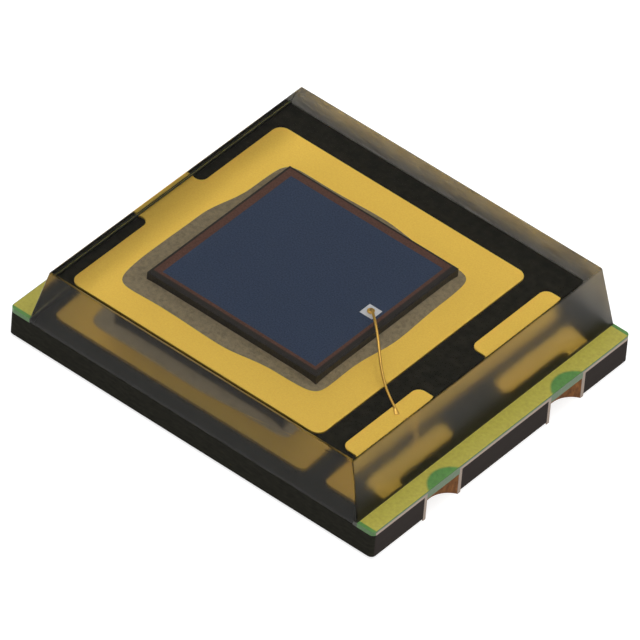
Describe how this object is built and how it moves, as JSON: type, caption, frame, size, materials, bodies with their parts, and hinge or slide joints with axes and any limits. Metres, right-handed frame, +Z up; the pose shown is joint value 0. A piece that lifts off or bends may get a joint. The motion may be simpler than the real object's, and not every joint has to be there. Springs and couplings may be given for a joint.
{
  "type": "surface-mount photodiode",
  "caption": "Flat surface-mount photodiode: a square blue-windowed die on gold pads, wire bonded and moulded in clear epoxy on a small black board with plated half holes.",
  "frame": {"origin": "middle of the footprint, on the plane that the solder pads rest on", "axes": "+X from the cathode end to the anode end, +Y across the part, +Z up through the clear top"},
  "size_m": [0.005, 0.0042, 0.0011],
  "materials": {
    "laminate": "matt black woven laminate, sawn edges",
    "gold_plate": "satin gold plate on etched copper",
    "hole_copper": "dull browned copper",
    "solder_gold": "satin gold plate",
    "resist_film": "thin translucent green film, yellow-green over gold",
    "silver_epoxy": "grey silver-filled epoxy",
    "silicon": "dark sawn silicon",
    "border_oxide": "brown-red thin film",
    "window_blue": "dark blue antireflection coating with fine grain",
    "bond_metal": "pale satin aluminium",
    "wire_gold": "bright gold wire",
    "clear_epoxy": "clear epoxy, polished top, hazy sawn and moulded walls"
  },
  "bodies": {
    "root": {"board_core": "laminate", "cathode_foil": "gold_plate", "anode_foil": "gold_plate", "cathode_plating_front": "hole_copper", "cathode_plating_rear": "hole_copper", "anode_plating_front": "hole_copper", "anode_plating_rear": "hole_copper", "cathode_solder_pad": "solder_gold", "anode_solder_pad": "solder_gold", "cathode_film": "resist_film", "anode_film": "resist_film", "die_attach": "silver_epoxy", "silicon_die": "silicon", "oxide_border": "border_oxide", "window_coating": "window_blue", "bond_pad": "bond_metal", "bond_wire": "wire_gold", "encapsulant": "clear_epoxy"}
  },
  "joints": []
}
